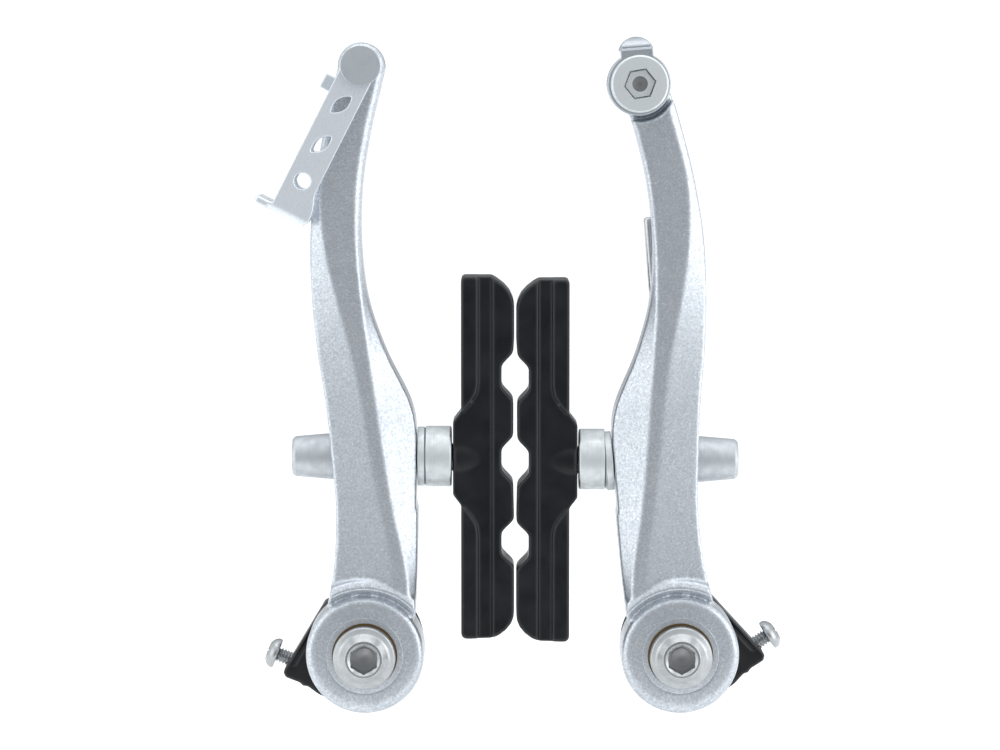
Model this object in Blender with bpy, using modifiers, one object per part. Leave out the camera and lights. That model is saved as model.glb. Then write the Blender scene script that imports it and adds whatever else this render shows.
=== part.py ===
"""Linear-pull rim brake caliper: a pair of arms with their shoes, springs and fittings.

Every length below is in millimetres and becomes metres where a mesh is made.
World frame: +X to the right, +Y to the rear, +Z up. The origin lies midway between
the two pivot axes, on the plane where the frame's bosses meet the boss sleeves.
Each side is drawn once, in the left side's own frame: +X points inwards, to the
other arm. The right side hangs from an empty that mirrors X.
"""
import math

import bpy
import bmesh
from mathutils import Matrix, Vector

MM = 0.001
MERGE = 0.000001

# Driving dimensions
PIVOT_SPACING = 60.2
RIGHT_LEAN = math.radians(4.3)
STUD_HEIGHT = 37.3
STUD_DEPTH = 10.6
PAD_DEPTH = 11.0
BOSS_RADIUS = 4.05
GAP = 0.3

# Depths ahead of the boss plane
HUB_REAR = 7.5
HUB_FRONT = 20.0
LUG_REAR = 11.3
LUG_FRONT = 18.8

# Hub stack
SLEEVE_RADIUS = 5.5
SLEEVE_END = 20.2
SLEEVE_STEP = 17.0
BOLT_BORE = 3.15
BUSH_BORE = 5.6
BUSH_RADIUS = 6.6
BUSH_END = 19.3
HUB_BORE = 6.85
HUB_RADIUS = 11.3
HUB_ROUNDING = 1.2
HUB_REAR_CHAMFER = 0.6
HUB_GROOVE_RADIUS = 12.5
HUB_GROOVE_DEPTH = 2.2
HEX_SOCKET = 5.0

# Where the shoe crosses the arm, and the stack along its stud
WEB_CENTRE = 6.3
WEB_HALF = 3.5
SHOE_TRAVEL = 3.0
STUD_RADIUS = 2.9
SLOT_HALF_WIDTH = 3.3
DOME_SPHERE = 7.55
CUP_SPHERE = 7.75
DOME_RADIUS = 5.7
CUP_RADIUS = 5.85
INNER_CUP_END = 10.2
OUTER_CUP_END = 8.6
NUT_END = 20.4
PAD_BACK = 12.05
PAD_FACE = 22.2
PAD_BOSS = 10.5
PAD_NOTCHES = (-16.2, -0.2, 15.8)
PAD_NOTCH_DEPTH = 2.4
POCKET_FRONT = 16.5
POCKET_REACH = SHOE_TRAVEL + CUP_RADIUS + 0.95

# Cable link, hanging from the left arm's top
RIVET_AT = (-0.4, 112.0)
LINK_LEAN = math.radians(27.0)
LINK_PLATE = 1.2
LINK_LENGTH = 32.0
LINK_HALF_WIDTH = 3.2
LINK_INSET = 0.05
RIVET_LUG_RADIUS = 4.45
RIVET_HOLE = 2.1

# Cable anchor, at the right arm's top
ANCHOR_AT = (0.0, 108.9)
ANCHOR_LUG_RADIUS = 6.0
ANCHOR_SPOTFACE = 6.6
ANCHOR_HOLE = 3.1
ANCHOR_SEAT = 17.6
ANCHOR_WASHER = 1.1

# Spring holder
HOLDER_REAR = 0.5
HOLDER_FRONT = 7.2
HOLDER_RADIUS = 10.9
HOLDER_CUP = 8.9
RIGHT_HOLDER_TURN = math.radians(11.5)
SCREW_HEAD_AT = (-18.4, -1.9)
SCREW_RISE = math.radians(22.0)
SCREW_DEPTH = 3.8
SCREW_RADIUS = 1.45
SCREW_LENGTH = 9.2

# Return spring
WIRE_RADIUS = 0.9
COIL_RADIUS = 7.2
COIL_REAR = 2.9
COIL_LENGTH = 3.2
COIL_STEPS = 24
TAIL_AT = math.radians(216)
TAIL_REACH = 8.6
POST_HEIGHT = 76.0

FORWARD = (math.pi / 2, 0.0, 0.0)
INWARD = (0.0, math.pi / 2, 0.0)
OUTWARD = (0.0, -math.pi / 2, 0.0)

# One row for each level of the arm: height, outer edge, crease, ridge and inner edge
# across the arm, then front depth, outer and inner edge drop, and rear depth.
ARM_ROWS = (
    (7.0, -7.6, 6.2, 8.8, 9.6, 20.0, 1.8, 1.6, 8.5),
    (17.0, -5.9, 5.3, 7.7, 10.0, 20.0, 1.7, 2.2, 8.5),
    (28.0, -5.5, 3.2, 5.3, 10.1, 20.0, 1.6, 3.2, 4.8),
    (40.0, -6.5, 1.0, 3.3, 9.9, 20.0, 1.6, 3.7, 4.8),
    (47.5, -7.3, -0.2, 2.2, 8.9, 20.0, 1.6, 3.6, 4.8),
    (58.0, -8.9, -2.3, 0.8, 4.1, 20.0, 1.9, 2.8, 9.0),
    (68.0, -9.9, -5.1, -0.5, 0.8, 19.5, 1.9, 1.6, 10.8),
    (79.0, -10.2, -7.6, -1.5, -0.5, 18.8, 1.5, 1.1, 11.3),
    (90.0, -9.2, -8.2, -1.3, -0.2, 18.8, 1.0, 1.0, 11.3),
    (100.0, -7.5, -6.5, 0.3, 1.4, 18.8, 1.0, 1.0, 11.3),
    (108.0, -5.7, -4.7, 2.2, 3.3, 18.8, 1.0, 1.0, 11.3),
    (112.0, -4.7, -3.7, 3.2, 4.2, 18.8, 1.0, 1.0, 11.3),
)
ROWS_BETWEEN = 2


def clear_scene():
    for obj in list(bpy.data.objects):
        bpy.data.objects.remove(obj, do_unlink=True)


def new_collection(name):
    collection = bpy.data.collections.new(name)
    bpy.context.scene.collection.children.link(collection)
    return collection


def principled(name, colour, roughness, metallic):
    material = bpy.data.materials.new(name)
    material.use_nodes = True
    shader = material.node_tree.nodes["Principled BSDF"]
    shader.inputs["Base Color"].default_value = (*colour, 1.0)
    shader.inputs["Roughness"].default_value = roughness
    shader.inputs["Metallic"].default_value = metallic
    return material


def scaled(points):
    return [Vector(point) * MM for point in points]


def place(obj, parent, at=(0, 0, 0), turn=(0, 0, 0), material=None):
    """Put an object in its parent's frame; without a material it is a cutter."""
    (PARTS if material else CUTTERS).objects.link(obj)
    obj.parent = parent
    obj.location = Vector(at) * MM
    obj.rotation_euler = turn
    if material:
        obj.data.materials.append(material)
    else:
        obj.hide_render = True
        obj.display_type = "WIRE"
    return obj


def empty(name, parent=None, at=(0, 0, 0), turn=(0, 0, 0), mirrored=False):
    obj = bpy.data.objects.new(name, None)
    obj.empty_display_size = 0.01
    PARTS.objects.link(obj)
    obj.parent = parent
    obj.location = Vector(at) * MM
    obj.rotation_euler = turn
    if mirrored:
        obj.scale = (-1, 1, 1)
    return obj


def mesh_object(name, bm, parent, **where):
    mesh = bpy.data.meshes.new(name)
    bm.to_mesh(mesh)
    bm.free()
    return place(bpy.data.objects.new(name, mesh), parent, **where)


def turned(name, parent, profile, steps=28, **where):
    """A body turned about its own Z. The profile is (radius, height), top first, down
    the outside; one that stays off the axis closes on itself and makes a ring."""
    mesh = bpy.data.meshes.new(name)
    edges = [(n, n + 1) for n in range(len(profile) - 1)]
    if profile[0][0] > 0:
        edges.append((len(profile) - 1, 0))
    mesh.from_pydata(scaled((r, 0, h) for r, h in profile), edges, [])
    obj = place(bpy.data.objects.new(name, mesh), parent, **where)
    screw = obj.modifiers.new("Turn", "SCREW")
    screw.angle = 2 * math.pi
    screw.steps = steps
    screw.render_steps = steps
    screw.use_merge_vertices = True
    screw.merge_threshold = MERGE
    screw.use_smooth_shade = True
    return obj


def rod(name, parent, radius, low, high, steps=28, **where):
    profile = [(0, high), (radius, high), (radius, low), (0, low)]
    return turned(name, parent, profile, steps, **where)


def block(name, parent, low, high, **where):
    """A box between two corners of the parent's frame."""
    low, high = Vector(low), Vector(high)
    bm = bmesh.new()
    bmesh.ops.create_cube(bm, size=MM)
    bmesh.ops.scale(bm, vec=high - low, verts=bm.verts)
    bmesh.ops.translate(bm, vec=(low + high) / 2 * MM, verts=bm.verts)
    return mesh_object(name, bm, parent, **where)


def hexagon(name, parent, low, high, **where):
    """The hexagonal prism that cuts a socket."""
    radius = HEX_SOCKET / 2 / math.cos(math.pi / 6) * MM
    depth = (high - low) * MM
    bm = bmesh.new()
    bmesh.ops.create_cone(bm, cap_ends=True, segments=6, radius1=radius, radius2=radius, depth=depth)
    bmesh.ops.translate(bm, vec=(0, 0, (low + high) / 2 * MM), verts=bm.verts)
    return mesh_object(name, bm, parent, **where)


def plate(name, parent, outline, rear, front, **where):
    """A flat outline in the XZ plane, solid from the rear depth to the front depth."""
    curve = bpy.data.curves.new(name, "CURVE")
    curve.dimensions = "2D"
    curve.fill_mode = "BOTH"
    curve.extrude = (front - rear) / 2 * MM
    spline = curve.splines.new("POLY")
    spline.points.add(len(outline) - 1)
    for point, (x, z) in zip(spline.points, outline):
        point.co = (x * MM, z * MM, 0, 1)
    spline.use_cyclic_u = True
    upright = Matrix.Rotation(math.pi / 2, 4, "X")
    return from_curve(name, curve, upright, (rear + front) / 2, parent, where)


def wire(name, parent, points, radius, **where):
    curve = bpy.data.curves.new(name, "CURVE")
    curve.dimensions = "3D"
    curve.bevel_depth = radius * MM
    curve.bevel_resolution = 2
    curve.use_fill_caps = True
    spline = curve.splines.new("POLY")
    spline.points.add(len(points) - 1)
    for point, place_at in zip(spline.points, points):
        point.co = (*(Vector(place_at) * MM), 1)
    return from_curve(name, curve, Matrix(), 0, parent, where)


def from_curve(name, curve, turn, depth, parent, where):
    """Make a curve a closed mesh, with its caps welded, and put it at a depth."""
    source = bpy.data.objects.new(name + "_curve", curve)
    bpy.context.scene.collection.objects.link(source)
    graph = bpy.context.evaluated_depsgraph_get()
    mesh = bpy.data.meshes.new_from_object(source.evaluated_get(graph))
    bpy.data.objects.remove(source, do_unlink=True)
    bm = bmesh.new()
    bm.from_mesh(mesh)
    bpy.data.meshes.remove(mesh)
    bmesh.ops.remove_doubles(bm, verts=bm.verts, dist=MERGE)
    bmesh.ops.transform(bm, matrix=Matrix.Translation((0, -depth * MM, 0)) @ turn, verts=bm.verts)
    bmesh.ops.recalc_face_normals(bm, faces=bm.faces)
    return mesh_object(name, bm, parent, **where)


def combine(obj, tool, operation="DIFFERENCE"):
    boolean = obj.modifiers.new(tool.name, "BOOLEAN")
    boolean.operation = operation
    boolean.object = tool
    boolean.solver = "EXACT"


def arc(centre, radius, start, end, count):
    """Points along an arc, its angles in degrees from +X towards +Z."""
    angles = [math.radians(start + (end - start) * n / (count - 1)) for n in range(count)]
    return [(centre[0] + radius * math.cos(a), centre[1] + radius * math.sin(a)) for a in angles]


def blended_rows(rows, between):
    """Rows on a smooth curve through the given ones (Catmull-Rom)."""
    ends = [rows[0], *rows, rows[-1]]
    found = []
    for n in range(len(rows) - 1):
        before, start, end, after = ends[n:n + 4]
        for step in range(between):
            t = step / between
            found.append([
                b + t / 2 * (c - a + t * (2 * a - 5 * b + 4 * c - d + t * (3 * b - a - 3 * c + d)))
                for a, b, c, d in zip(before, start, end, after)
            ])
    return found + [list(rows[-1])]


def arm_section(row):
    """The arm's cross-section at one height: flat spine, two facets, two sides, rear."""
    height, outer, crease, ridge, inner, front, outer_drop, inner_drop, rear = row
    chamfer = 0.8
    return [
        Vector((x, -depth, height)) * MM
        for x, depth in (
            (outer + chamfer, rear),
            (outer, rear + chamfer),
            (outer, front - outer_drop),
            (crease, front),
            (ridge, front),
            (inner, front - inner_drop),
            (inner, rear + chamfer),
            (inner - chamfer, rear),
        )
    ]


def arm_beam(name, parent, top, **where):
    rows = [row for row in blended_rows(ARM_ROWS, ROWS_BETWEEN) if row[0] <= top]
    bm = bmesh.new()
    rings = [[bm.verts.new(point) for point in arm_section(row)] for row in rows]
    for low, high in zip(rings, rings[1:]):
        for n, vert in enumerate(low):
            following = (n + 1) % len(low)
            bm.faces.new((vert, low[following], high[following], high[n]))
    bm.faces.new(rings[0][::-1])
    bm.faces.new(rings[-1])
    bmesh.ops.recalc_face_normals(bm, faces=bm.faces)
    return mesh_object(name, bm, parent, **where)


def hub_profile():
    """The hub's disc, with a rounded front rim and a chamfered rear one."""
    flat = HUB_FRONT - HUB_ROUNDING
    rim = []
    for step in (3, 2, 1, 0):
        angle = step * math.pi / 6
        away = HUB_RADIUS - HUB_ROUNDING * (1 - math.cos(angle))
        rim.append((away, flat + HUB_ROUNDING * math.sin(angle)))
    core = HUB_BORE - 1
    chamfer = HUB_REAR_CHAMFER
    rear = [(HUB_RADIUS, HUB_REAR + chamfer), (HUB_RADIUS - chamfer, HUB_REAR), (core, HUB_REAR)]
    return [(core, HUB_FRONT), *rim, *rear]


def build_arm(side, material):
    """Cast arm: beam, hub, top lug, slotted web and the pocket behind its front wall."""
    name, pivot = side["name"], side["pivot"]
    top = ANCHOR_AT if name == "right" else RIVET_AT
    arm = arm_beam(f"{name}_arm", pivot, top[1], material=material)
    groove_floor = HUB_FRONT - HUB_GROOVE_DEPTH
    groove = rod(f"{name}_hub_groove", pivot, HUB_GROOVE_RADIUS, groove_floor, 25, 48, turn=FORWARD)
    combine(arm, groove)
    combine(arm, turned(f"{name}_hub", pivot, hub_profile(), 48, turn=FORWARD), "UNION")
    combine(arm, rod(f"{name}_hub_bore", pivot, HUB_BORE, 0, 25, 48, turn=FORWARD))
    build_top_lug(arm, side, (top[0], 0, top[1]))
    cut_shoe_slot(arm, side)
    post_at = (side["post"][0], 0, side["post"][1])
    combine(arm, rod(f"{name}_post_hole", pivot, 1.5, 5, 15, 16, at=post_at, turn=FORWARD))
    return arm


def build_top_lug(arm, side, top):
    """The left arm's lug takes the link's rivet, the right arm's the pinch bolt."""
    name, pivot = side["name"], side["pivot"]
    rear = LUG_REAR + 0.05
    if name == "right":
        floor = ANCHOR_SEAT - GAP
        combine(arm, rod("anchor_spotface", pivot, ANCHOR_SPOTFACE, floor, 25, 36, at=top, turn=FORWARD))
        lug = rod("anchor_lug", pivot, ANCHOR_LUG_RADIUS, rear, ANCHOR_SEAT, at=top, turn=FORWARD)
        hole = ANCHOR_HOLE
    else:
        lug = rod("rivet_lug", pivot, RIVET_LUG_RADIUS, rear, LUG_FRONT - 0.05, at=top, turn=FORWARD)
        hole = RIVET_HOLE
    combine(arm, lug, "UNION")
    combine(arm, rod(f"{name}_lug_hole", pivot, hole, 0, 25, 20, at=top, turn=FORWARD))


def cut_shoe_slot(arm, side):
    name, pivot = side["name"], side["pivot"]
    bottom, top = STUD_HEIGHT - POCKET_REACH, STUD_HEIGHT + POCKET_REACH
    low = (-20, -POCKET_FRONT, bottom)
    high = (WEB_CENTRE - WEB_HALF, 5, top)
    combine(arm, block(f"{name}_pocket", pivot, low, high))
    seat = WEB_CENTRE + WEB_HALF
    combine(arm, block(f"{name}_shoe_seat", pivot, (seat, -25, bottom), (seat + 4, 5, top)))
    lower = arc((0, STUD_HEIGHT - SHOE_TRAVEL), SLOT_HALF_WIDTH, 180, 360, 9)
    upper = arc((0, STUD_HEIGHT + SHOE_TRAVEL), SLOT_HALF_WIDTH, 0, 180, 9)
    at, turn = (WEB_CENTRE, -STUD_DEPTH, 0), (0, 0, math.pi / 2)
    combine(arm, plate(f"{name}_slot", pivot, lower + upper, -8, 8, at=at, turn=turn))


def build_hub_stack(side, materials):
    """The sleeve that slides on the frame's boss, with the bolt and washer that hold it."""
    name, boss = side["name"], side["boss"]
    steel = materials["steel"]
    chamfer = 0.3
    sleeve = [
        (BOLT_BORE, SLEEVE_END), (SLEEVE_RADIUS - chamfer, SLEEVE_END), (SLEEVE_RADIUS, SLEEVE_END - chamfer),
        (SLEEVE_RADIUS, 0), (BOSS_RADIUS, 0), (BOSS_RADIUS, SLEEVE_STEP), (BOLT_BORE, SLEEVE_STEP),
    ]
    turned(f"{name}_boss_sleeve", boss, sleeve, 40, turn=FORWARD, material=steel)
    bush = [(BUSH_BORE, BUSH_END), (BUSH_RADIUS, BUSH_END), (BUSH_RADIUS, HUB_REAR), (BUSH_BORE, HUB_REAR)]
    turned(f"{name}_pivot_bush", side["pivot"], bush, 48, turn=FORWARD, material=materials["brass"])
    washer = [(3.3, 21.3), (5.6, 21.3), (5.6, 20.5), (3.3, 20.5)]
    turned(f"{name}_fixing_washer", boss, washer, turn=FORWARD, material=steel)
    bolt = [
        (0, 25.2), (3.5, 25.2), (4.1, 24.9), (5.7, 23.3), (5.95, 22.9), (5.95, 21.6), (2.9, 21.6),
        (2.9, 6.6), (2.3, 6.0), (0, 6.0),
    ]
    head = turned(f"{name}_fixing_bolt", boss, bolt, turn=FORWARD, material=steel)
    combine(head, hexagon(f"{name}_fixing_socket", boss, 21.8, 26, turn=FORWARD))


def holder_outline():
    """Round back with a lug that carries the adjusting screw."""
    return [
        *arc((0, 0), HOLDER_RADIUS, -104, 122, 24),
        (-8.4, 8.1), (-16.1, -4.7), (-16.3, -5.4), (-15.9, -6.3), (-13.1, -7.4),
        (-12.5, -8.0), (-11.6, -8.1), (-9.6, -9.6), (-7.4, -10.6), (-5.0, -10.9),
    ]


def build_spring_holder(side, materials):
    """Housing that is fixed to the boss by its pin, with a cup for the coil and a
    window that the spring's leg sweeps through."""
    name, holder_frame = side["name"], side["holder"]
    holder = plate(
        f"{name}_spring_holder", holder_frame, holder_outline(), HOLDER_REAR, HOLDER_FRONT,
        material=materials["plastic"],
    )
    floor = HOLDER_REAR + 1.2
    combine(holder, rod(f"{name}_holder_cup", holder_frame, HOLDER_CUP, floor, 9, turn=FORWARD))
    combine(holder, rod(f"{name}_holder_bore", holder_frame, SLEEVE_RADIUS + GAP, -1, 9, turn=FORWARD))
    combine(holder, block(f"{name}_leg_window", holder_frame, (-6.5, -9, 2.0), (12, -floor, 14)))
    hole = SCREW_RADIUS + GAP
    combine(holder, rod(f"{name}_screw_hole", side["screw"], hole, -12.5, 5, 16, turn=OUTWARD))
    pin_at = (-10.9, 0, 0.8)
    combine(holder, rod(f"{name}_pin_hole", holder_frame, 1.1, -2, 4.4, 12, at=pin_at, turn=FORWARD))
    rod(
        f"{name}_spring_pin", holder_frame, 0.95, -3.2, 4.1, 12, at=pin_at, turn=FORWARD,
        material=materials["steel"],
    )


def build_adjusting_screw(side, materials):
    """Pan-head screw with a cross recess."""
    name, frame = side["name"], side["screw"]
    tip = -SCREW_LENGTH
    screw = [
        (0, 1.3), (1.8, 1.1), (2.7, 0.5), (3.0, -0.3), (2.85, -0.9), (SCREW_RADIUS, -0.9),
        (SCREW_RADIUS, tip + 0.4), (SCREW_RADIUS - 0.4, tip), (0, tip),
    ]
    head = turned(f"{name}_adjusting_screw", frame, screw, 24, turn=OUTWARD, material=materials["steel"])
    half_length, half_width, floor = 1.9, 0.35, -0.3
    for number in range(2):
        low, high = (-3, -half_length, -half_width), (floor, half_length, half_width)
        turn = (number * math.pi / 2, 0, 0)
        combine(head, block(f"{name}_cross_{number}", frame, low, high, turn=turn))


def spring_points(leg_x):
    """From the tail beside the adjusting screw, round the sleeve, then up the arm."""
    front = -COIL_REAR - COIL_LENGTH
    turns = 4 * math.pi - TAIL_AT
    points = [(TAIL_REACH * math.cos(TAIL_AT), front, TAIL_REACH * math.sin(TAIL_AT))]
    for n in range(COIL_STEPS + 1):
        share = n / COIL_STEPS
        angle = TAIL_AT + turns * share
        along = front + COIL_LENGTH * share
        points.append((COIL_RADIUS * math.cos(angle), along, COIL_RADIUS * math.sin(angle)))
    leg = (
        (7.3, -2.9, 8), (6.6, -3.1, 24), (4.2, -3.3, 40), (2.2, -3.6, 50), (1.0, -6.2, 59),
        (leg_x, -9.6, 67), (leg_x, -10.1, 71), (leg_x, -10.1, 83),
    )
    return [*points, *leg]


def build_spring(side, materials):
    name, pivot, steel = side["name"], side["pivot"], materials["steel"]
    wire(f"{name}_return_spring", pivot, spring_points(side["leg_x"]), WIRE_RADIUS, material=steel)
    post_at = (side["post"][0], 0, side["post"][1])
    post = [(0, 14.7), (1.3, 14.7), (1.3, 9.2), (1.9, 9.0), (1.9, 8.3), (0, 8.3)]
    turned(f"{name}_spring_post", pivot, post, 16, at=post_at, turn=FORWARD, material=steel)


def sphere_arc(radius, start, end, count=3):
    """Points on a sphere about the slot's centre, from one distance off the stud to another."""
    found = []
    for n in range(count):
        away = start + (end - start) * n / (count - 1)
        found.append((away, math.sqrt(radius * radius - away * away)))
    return found


def build_washers(side, materials):
    """Ball washers in pairs, each side of the web: domes on the arm, cups on the stud."""
    name, steel = side["name"], materials["zinc"]
    seat = WEB_HALF + 0.2
    dome = [*sphere_arc(DOME_SPHERE, 3.6, DOME_RADIUS), (DOME_RADIUS, seat), (3.6, seat)]
    bore = 3.2
    for place_name, turn, end in (("inner", INWARD, INNER_CUP_END), ("outer", OUTWARD, OUTER_CUP_END)):
        turned(f"{name}_{place_name}_dome_washer", side["slot"], dome, turn=turn, material=steel)
        rim = sphere_arc(CUP_SPHERE, CUP_RADIUS - 0.1, bore)
        cup = [
            (bore, end), (CUP_RADIUS - 0.3, end), (CUP_RADIUS, end - 0.3),
            (CUP_RADIUS, rim[0][1] + 0.1), *rim,
        ]
        turned(f"{name}_{place_name}_cup_washer", side["shoe"], cup, turn=turn, material=steel)


def notch(offset):
    """How deep the pad's cross groove is at a distance from its centre, from 0 to 1."""
    floor, mouth = 1.65, 5.0
    t = min(max((abs(offset) - floor) / (mouth - floor), 0), 1)
    return 1 - t * t * (3 - 2 * t)


def pad_outline():
    """Seen from the front: back with its stud boss, then the friction face with grooves."""
    points = [(PAD_BACK + 0.6, -34.6), (19.2, -34.5), (21.2, -33.5), (PAD_FACE, -31.4)]
    for centre in PAD_NOTCHES:
        for step in (-5.0, -4.1, -3.3, -2.5, -1.65, 1.65, 2.5, 3.3, 4.1, 5.0):
            points.append((PAD_FACE - PAD_NOTCH_DEPTH * notch(step), centre + step))
    points += [(PAD_FACE, 30.7), (20.9, 33.0), (17.9, 34.8), (PAD_BACK + 0.6, 34.8), (PAD_BACK, 34.2)]
    points += [(PAD_BACK, 9.0), (PAD_BOSS, 7.0), (PAD_BOSS, -7.0), (PAD_BACK, -9.0), (PAD_BACK, -34.0)]
    return points


def build_shoe(side, materials):
    name, shoe = side["name"], side["shoe"]
    half = PAD_DEPTH / 2
    pad = plate(f"{name}_brake_pad", shoe, pad_outline(), -half, half, material=materials["rubber"])
    combine(pad, block(f"{name}_plate_cavity", shoe, (13.9, -4.3, -11.3), (15.9, 4.3, 11.3)))
    combine(pad, rod(f"{name}_stud_cavity", shoe, STUD_RADIUS + GAP, 5, 15, 24, turn=INWARD))
    stud = [(0, 14.4), (STUD_RADIUS, 14.4), (STUD_RADIUS, -14.2), (2.4, -14.7), (0, -14.7)]
    threaded = turned(f"{name}_pad_stud", shoe, stud, 24, turn=INWARD, material=materials["zinc"])
    backing = block(f"{name}_backing_plate", shoe, (14.2, -4.0, -11.0), (15.6, 4.0, 11.0))
    combine(threaded, backing, "UNION")
    start = OUTER_CUP_END + GAP
    body = [
        (0, NUT_END), (3.3, NUT_END), (3.8, NUT_END - 0.5), (4.65, 10.4), (4.65, start), (3.15, start),
        (3.15, 15.2), (0, 15.2),
    ]
    nut = turned(f"{name}_shoe_nut", shoe, body, turn=OUTWARD, material=materials["zinc"])
    combine(nut, hexagon(f"{name}_nut_socket", shoe, 14.8, 22, turn=OUTWARD))


def link_side_outline():
    """One cheek of the link: round about the rivet, flared on the arm's side at its foot."""
    foot = -LINK_LENGTH + 0.8
    return [
        *arc((0, 0), LINK_HALF_WIDTH, 0, 180, 9),
        (-LINK_HALF_WIDTH, foot), (4.4, foot), (4.5, -29.4),
        (4.1, -27.4), (LINK_HALF_WIDTH, -25.2),
    ]


def oval(centre_z, long_half, short_half, tilt, count=12):
    points = []
    for n in range(count):
        a = 2 * math.pi * n / count
        x, z = short_half * math.cos(a), long_half * math.sin(a)
        across = x * math.cos(tilt) + z * math.sin(tilt)
        up = z * math.cos(tilt) - x * math.sin(tilt)
        points.append((across, centre_z + up))
    return points


def build_link(side, materials):
    """Bent-sheet link that takes the end of the cable pipe: two cheeks and a forked seat."""
    frame = side["link"]
    rear, front = LUG_REAR - GAP, LUG_FRONT + GAP
    outer_face, inner_face = front + LINK_PLATE - LINK_INSET, rear - LINK_PLATE + LINK_INSET
    cheek, zinc = link_side_outline(), materials["zinc"]
    link = plate("noodle_link", frame, cheek, front, front + LINK_PLATE, material=zinc)
    combine(link, plate("link_back_cheek", frame, cheek, rear - LINK_PLATE, rear), "UNION")
    foot = -LINK_LENGTH
    seat = block("link_seat", frame, (-6.6, -outer_face, foot), (4.1, -inner_face, foot + 1.6))
    combine(link, seat, "UNION")
    ear = block("link_ear", frame, (-5.9, -rear + LINK_INSET, -7.3), (-3.0, -inner_face, -4.1))
    combine(link, ear, "UNION")
    cut_link_holes(link, frame, foot, -(rear + front) / 2)
    build_rivet(frame, front + LINK_PLATE + GAP, rear - LINK_PLATE - GAP, zinc)


def cut_link_holes(link, frame, foot, middle):
    combine(link, rod("seat_hole", frame, 2.5, foot - 2, foot + 4, 16, at=(0.2, middle, 0)))
    combine(link, block("seat_fork", frame, (-8, middle - 1.2, foot - 2), (0.2, middle + 1.2, foot + 4)))
    for n, centre in enumerate((-8.15, -16.5)):
        window = plate(f"link_window_{n}", frame, oval(centre, 2.05, 1.5, math.radians(28)), 5, 25)
        combine(link, window)
    combine(link, rod("link_round_hole", frame, 1.55, 5, 25, 16, at=(0, 0, -24.3), turn=FORWARD))
    combine(link, rod("link_rivet_hole", frame, 2.3, 5, 25, 20, turn=FORWARD))


def build_rivet(frame, head, tail, material):
    """Flat-headed rivet through both cheeks and the lug, its tail spread at the rear."""
    shank = RIVET_HOLE - 0.1
    rivet = [
        (0, head + 1.2), (3.5, head + 1.2), (3.8, head + 0.9), (3.8, head), (shank, head), (shank, tail),
        (3.3, tail), (3.3, tail - 0.8), (2.8, tail - 1.1), (0, tail - 1.1),
    ]
    turned("link_rivet", frame, rivet, turn=FORWARD, material=material)


def build_anchor(side, materials):
    """Pinch bolt and hooked washer that grip the bare cable on the right arm."""
    frame, zinc = side["anchor"], materials["zinc"]
    seat = ANCHOR_SEAT + GAP
    face = seat + ANCHOR_WASHER
    washer_shape = [(3.2, face), (6.0, face), (6.0, seat), (3.2, seat)]
    washer = turned("anchor_washer", frame, washer_shape, turn=FORWARD, material=zinc)
    combine(washer, block("washer_tab", frame, (-3.1, -face, 5.0), (3.1, -seat, 6.9)), "UNION")
    hook_end = seat - 6.5
    combine(washer, block("washer_hook", frame, (-3.1, -seat - 0.2, 6.4), (3.1, -hook_end, 7.2)), "UNION")
    hook = [(3.1, 6.4), *arc((0, 5.6), 3.4, 24, 156, 9), (-3.1, 6.4)]
    combine(washer, plate("washer_hook_end", frame, hook, hook_end, hook_end + ANCHOR_WASHER), "UNION")
    head = face + GAP
    bolt = [
        (0, head + 4.3), (4.6, head + 4.3), (5.4, head + 3.4), (5.4, head), (2.9, head),
        (2.9, 11.2), (2.4, 10.7), (0, 10.7),
    ]
    pinch = turned("anchor_bolt", frame, bolt, turn=FORWARD, material=zinc)
    socket_turn = (math.pi / 2, math.radians(10), 0)
    combine(pinch, hexagon("anchor_socket", frame, head + 1.2, head + 5, turn=socket_turn))


def side_frames(name):
    """The empties that a side hangs from, each on the axis that its pieces turn about."""
    right = name == "right"
    lean = RIGHT_LEAN if right else 0.0
    out = PIVOT_SPACING / 2 if right else -PIVOT_SPACING / 2
    boss = empty(f"{name}_boss", at=(out, 0, 0), mirrored=right)
    pivot = empty(f"{name}_pivot", boss, turn=(0, lean, 0))
    stud_at = Matrix.Rotation(lean, 3, "Y") @ Vector((WEB_CENTRE, -STUD_DEPTH, STUD_HEIGHT))
    holder = empty(f"{name}_holder", boss, turn=(0, RIGHT_HOLDER_TURN if right else 0, 0))
    screw_at = (SCREW_HEAD_AT[0], -SCREW_DEPTH, SCREW_HEAD_AT[1])
    leg_x = -0.2 if right else -1.6
    return {
        "name": name,
        "boss": boss,
        "pivot": pivot,
        "holder": holder,
        "screw": empty(f"{name}_screw", holder, screw_at, (0, SCREW_RISE, 0)),
        "slot": empty(f"{name}_slot_centre", boss, stud_at, (0, lean, 0)),
        "shoe": empty(f"{name}_shoe", boss, stud_at),
        "link": empty(f"{name}_link", pivot, (RIVET_AT[0], 0, RIVET_AT[1]), (0, LINK_LEAN, 0)),
        "anchor": empty(f"{name}_anchor", pivot, (ANCHOR_AT[0], 0, ANCHOR_AT[1])),
        "leg_x": leg_x,
        "post": (leg_x - 2.4, POST_HEIGHT),
    }


def make_materials():
    return {
        "arm": principled("silver_paint", (0.56, 0.57, 0.60), 0.42, 0.75),
        "steel": principled("plated_steel", (0.62, 0.64, 0.65), 0.28, 1.0),
        "zinc": principled("zinc_plate", (0.66, 0.68, 0.69), 0.35, 1.0),
        "brass": principled("brass", (0.63, 0.44, 0.18), 0.35, 1.0),
        "plastic": principled("black_plastic", (0.015, 0.015, 0.018), 0.4, 0.0),
        "rubber": principled("black_rubber", (0.02, 0.021, 0.025), 0.6, 0.0),
    }


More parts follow.
